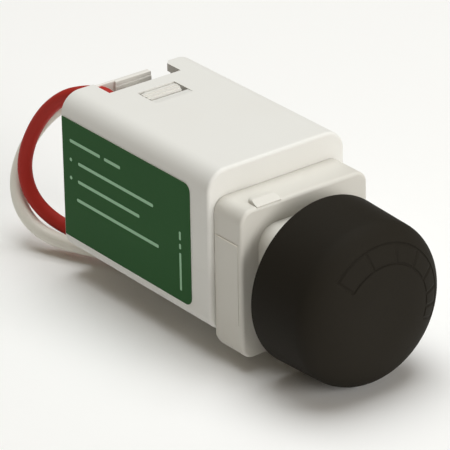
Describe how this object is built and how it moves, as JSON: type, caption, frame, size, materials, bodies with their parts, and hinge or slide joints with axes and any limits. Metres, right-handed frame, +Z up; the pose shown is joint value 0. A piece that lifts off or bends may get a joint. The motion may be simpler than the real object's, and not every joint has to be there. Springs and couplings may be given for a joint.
{
  "type": "rotary dimmer switch",
  "caption": "Rotary push-on push-off dimmer mechanism for a modular wall plate: off-white housing, snap-in collar, black knob and two wire leads.",
  "frame": {"origin": "on the knob's axis, in the plane of the shoulder that rests against the wall plate's back", "axes": "knob faces -Y; +Z up; +X to the right seen from the front"},
  "size_m": [0.025, 0.0744, 0.0285],
  "materials": {
    "housing_plastic": "satin moulded, off-white",
    "collar_plastic": "satin moulded, off-white",
    "cap_plastic": "matt moulded, cream",
    "label_foil": "satin printed film, dark green",
    "knob_plastic": "fine matt, black",
    "spring_steel": "bright",
    "shaft_plastic": "turned, pale",
    "bushing_brass": "turned",
    "pot_steel": "tinned",
    "rotor_plastic": "brown phenolic",
    "track_carbon": "carbon on phenolic board",
    "contact_brass": "stamped",
    "switch_plastic": "black",
    "plunger_plastic": "white",
    "board_laminate": "green solder mask",
    "heatsink_aluminium": "mill",
    "resin_black": "moulded epoxy",
    "resin_red": "dipped epoxy",
    "sleeve_dark": "printed sleeve",
    "resin_blue": "dipped epoxy",
    "resistor_coat": "lacquer",
    "fuse_coat": "lacquer",
    "tinned_copper": "tinned copper",
    "red_insulation": "PVC insulation, red",
    "white_insulation": "PVC insulation, white"
  },
  "bodies": {
    "housing": {"rear_housing": "housing_plastic", "front_collar": "collar_plastic", "rear_cap": "cap_plastic", "rating_label": "label_foil", "shaft_bushing": "bushing_brass", "pot_case": "pot_steel", "resistive_track": "track_carbon", "pot_terminals": "contact_brass", "switch_case": "switch_plastic", "switch_cover": "switch_plastic", "return_spring": "spring_steel", "fixed_contacts": "contact_brass", "circuit_board": "board_laminate", "heatsink_plate": "heatsink_aluminium", "power_transistors": "resin_black", "film_capacitor": "resin_red", "electrolytic_capacitor": "sleeve_dark", "varistor": "resin_blue", "control_chip": "resin_black", "resistors": "resistor_coat", "diodes": "resin_black", "fuse_resistor": "fuse_coat", "lead_terminals": "tinned_copper", "red_lead": "red_insulation", "white_lead": "white_insulation", "red_lead_end": "tinned_copper", "white_lead_end": "tinned_copper"},
    "plunger": {"switch_plunger": "plunger_plastic", "contact_bridge": "contact_brass"},
    "knob": {"knob": "knob_plastic", "knob_spring": "spring_steel", "control_shaft": "shaft_plastic", "shaft_circlip": "spring_steel"},
    "wiper": {"wiper_rotor": "rotor_plastic", "wiper_contact": "spring_steel"},
    "latch": {"latch_wire": "spring_steel"}
  },
  "joints": [
    {"name": "push", "type": "slide", "parent": "housing", "child": "plunger", "axis": [0, 1, 0], "range_m": [0, 0.002], "stiffness_N_per_m": 1500, "springref_m": -0.001, "deforming": ["return_spring"]},
    {"name": "knob_turn", "type": "hinge", "parent": "plunger", "child": "knob", "pos_m": [0, 0, 0], "axis": [0, 1, 0], "range_deg": [-140, 140]},
    {"name": "wiper_turn", "type": "hinge", "parent": "housing", "child": "wiper", "pos_m": [0, -0.006, 0], "axis": [0, 1, 0], "range_deg": [-140.5, 140.5]},
    {"name": "latch_swing", "type": "hinge", "parent": "housing", "child": "latch", "pos_m": [0, 0.0113, 0.004], "axis": [0, 0, 1], "range_deg": [0, 8.1]}
  ],
  "couplings": [
    {"joint": "wiper_turn", "follows": "knob_turn", "ratio": 1},
    {"joint": "latch_swing", "follows": "push", "rad_per_m": 70}
  ]
}
